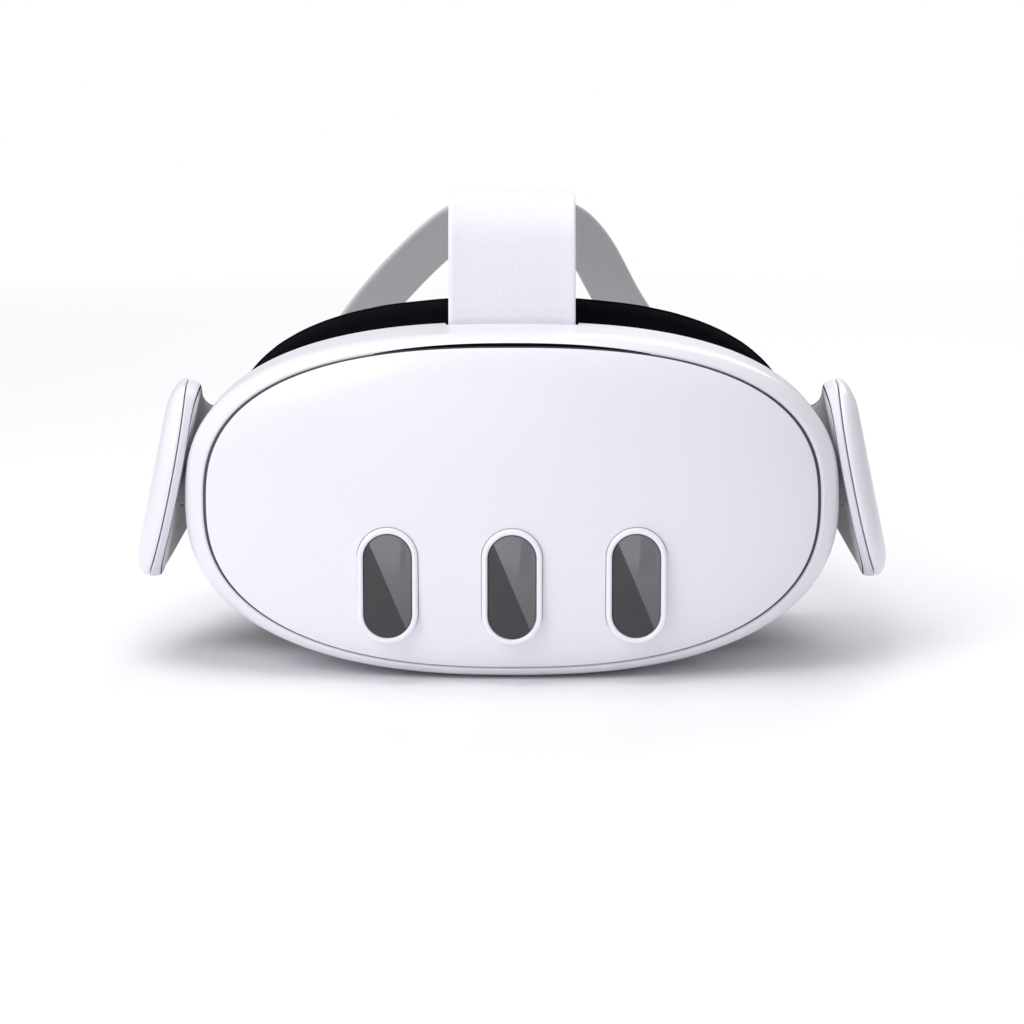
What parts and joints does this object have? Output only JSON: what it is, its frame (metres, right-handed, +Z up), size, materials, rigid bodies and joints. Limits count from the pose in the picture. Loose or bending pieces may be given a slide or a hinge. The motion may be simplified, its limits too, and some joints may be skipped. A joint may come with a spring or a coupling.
{
  "type": "vr headset",
  "caption": "Standalone mixed-reality headset: rounded visor with pill-shaped sensor windows, pivoting side arms, woven head strap, sliding face cushion and adjustable lenses.",
  "frame": {"origin": "centre of the flat dock face on the underside of the visor", "axes": "+Z up, -Y towards the scene the wearer looks at, +X towards the wearer's left"},
  "size_m": [0.2132, 0.2699, 0.1325],
  "materials": {
    "white_shell": "satin",
    "soft_white": "matt",
    "seam_rubber": "matt",
    "dark_window": "polished",
    "black_plastic": "matt",
    "grey_plastic": "matt",
    "frame_magnesium": "blasted",
    "circuit_board": "satin",
    "copper": "brushed",
    "battery_foil": "brushed",
    "steel": "polished",
    "gold_contact": "polished",
    "lens_glass": "polished",
    "display": "polished",
    "nylon_gear": "matt",
    "foam": "brushed knit",
    "nose_rubber": "matt",
    "strap_white": "fine knit",
    "strap_grey": "fine knit"
  },
  "bodies": {
    "visor": {"faceplate": "white_shell", "faceplate_gasket": "seam_rubber", "sensor_rims": "white_shell", "sensor_windows": "dark_window", "tracking_cameras": "black_plastic", "colour_cameras": "black_plastic", "depth_projector": "black_plastic", "body_shell": "white_shell", "side_camera_windows": "dark_window", "side_cameras": "black_plastic", "chassis": "frame_magnesium", "main_board": "circuit_board", "heat_spreader": "copper", "fan_housing": "black_plastic", "battery": "battery_foil", "battery_tray": "grey_plastic", "rear_cover": "black_plastic", "rear_screws": "steel", "guide_rods": "steel", "pinion_pin": "steel", "spacing_wheel_pin": "steel", "proximity_window": "dark_window", "dock_pad": "white_shell", "dock_contacts": "gold_contact", "rocker_pin": "steel", "usb_port": "steel", "audio_jack": "black_plastic", "strap_bar": "steel", "pivot_hub_left": "grey_plastic", "pivot_hub_right": "grey_plastic", "depth_rails": "steel"},
    "fan_rotor": {"fan_rotor": "black_plastic"},
    "lens_left": {"lens_carrier_left": "black_plastic", "lens_left": "lens_glass", "display_left": "display"},
    "lens_right": {"lens_carrier_right": "black_plastic", "lens_right": "lens_glass", "display_right": "display"},
    "link_pinion": {"link_pinion": "nylon_gear"},
    "spacing_wheel": {"spacing_wheel": "soft_white"},
    "volume_rocker": {"volume_rocker": "white_shell"},
    "power_button": {"power_button": "white_shell"},
    "face_interface": {"face_frame": "black_plastic", "face_cushion": "foam", "nose_flap": "nose_rubber"},
    "depth_latch_left": {"depth_latch_left": "grey_plastic"},
    "depth_latch_right": {"depth_latch_right": "grey_plastic"},
    "head_strap": {"arm_outer_left": "white_shell", "arm_inner_left": "soft_white", "arm_outer_right": "white_shell", "arm_inner_right": "soft_white", "speakers_left": "black_plastic", "speakers_right": "black_plastic", "side_strap_left": "strap_white", "side_strap_right": "strap_white", "rear_strap": "strap_white", "crown_yoke": "strap_grey"},
    "top_strap": {"top_strap": "strap_white"},
    "strap_slider_left": {"strap_slider_left": "white_shell"},
    "strap_slider_right": {"strap_slider_right": "white_shell"}
  },
  "joints": [
    {"name": "arm_tilt", "type": "hinge", "parent": "visor", "child": "head_strap", "pos_m": [0, 0.002, 0.0516], "axis": [1, 0, 0], "range_deg": [-10, 10]},
    {"name": "top_strap_swing", "type": "hinge", "parent": "visor", "child": "top_strap", "pos_m": [0, 0.0095, 0.0916], "axis": [1, 0, 0], "range_deg": [-10.6, 10.6]},
    {"name": "lens_left_slide", "type": "slide", "parent": "visor", "child": "lens_left", "axis": [1, 0, 0], "range_m": [-0.003, 0.0035]},
    {"name": "lens_right_slide", "type": "slide", "parent": "visor", "child": "lens_right", "axis": [1, 0, 0], "range_m": [-0.0036, 0.0031]},
    {"name": "link_pinion_spin", "type": "hinge", "parent": "visor", "child": "link_pinion", "pos_m": [0, 0.0045, 0.0246], "axis": [0, 1, 0], "range_deg": [-42.5, 36.5]},
    {"name": "spacing_wheel_spin", "type": "hinge", "parent": "visor", "child": "spacing_wheel", "pos_m": [0.03, 0, 0.01], "axis": [0, 1, 0], "range_deg": [-36.5, 42.5]},
    {"name": "fan_spin", "type": "hinge", "parent": "visor", "child": "fan_rotor", "pos_m": [0, -0.017, 0.0686], "axis": [0, 1, 0], "continuous": true},
    {"name": "volume_rocker_tilt", "type": "hinge", "parent": "visor", "child": "volume_rocker", "pos_m": [-0.04141, -0.001, 0.00678], "axis": [0, 1, 0], "range_deg": [-3, 3], "stiffness_Nm_per_rad": 0.01},
    {"name": "power_button_press", "type": "slide", "parent": "visor", "child": "power_button", "axis": [-0.3567, 0, 0.9342], "range_m": [0, 0.0005], "stiffness_N_per_m": 500},
    {"name": "face_depth", "type": "slide", "parent": "visor", "child": "face_interface", "axis": [0, 1, 0], "range_m": [0, 0.006]},
    {"name": "depth_latch_left_press", "type": "slide", "parent": "face_interface", "child": "depth_latch_left", "axis": [1, 0, 0], "range_m": [0, 0.0015], "stiffness_N_per_m": 300},
    {"name": "depth_latch_right_press", "type": "slide", "parent": "face_interface", "child": "depth_latch_right", "axis": [-1, 0, 0], "range_m": [0, 0.0015], "stiffness_N_per_m": 300},
    {"name": "slider_left_shift", "type": "hinge", "parent": "head_strap", "child": "strap_slider_left", "pos_m": [0, 0.15472, 0.04527], "axis": [0, 0.1045, 0.9945], "range_deg": [-22, 5]},
    {"name": "slider_right_shift", "type": "hinge", "parent": "head_strap", "child": "strap_slider_right", "pos_m": [0, 0.15472, 0.04527], "axis": [0, 0.1045, 0.9945], "range_deg": [-5, 22]}
  ],
  "couplings": [
    {"joint": "top_strap_swing", "follows": "arm_tilt", "ratio": 1.053},
    {"joint": "lens_right_slide", "follows": "lens_left_slide", "ratio": -1},
    {"joint": "link_pinion_spin", "follows": "lens_left_slide", "rad_per_m": -208.33},
    {"joint": "spacing_wheel_spin", "follows": "lens_left_slide", "rad_per_m": 208.33},
    {"joint": "slider_right_shift", "follows": "slider_left_shift", "ratio": -1}
  ]
}
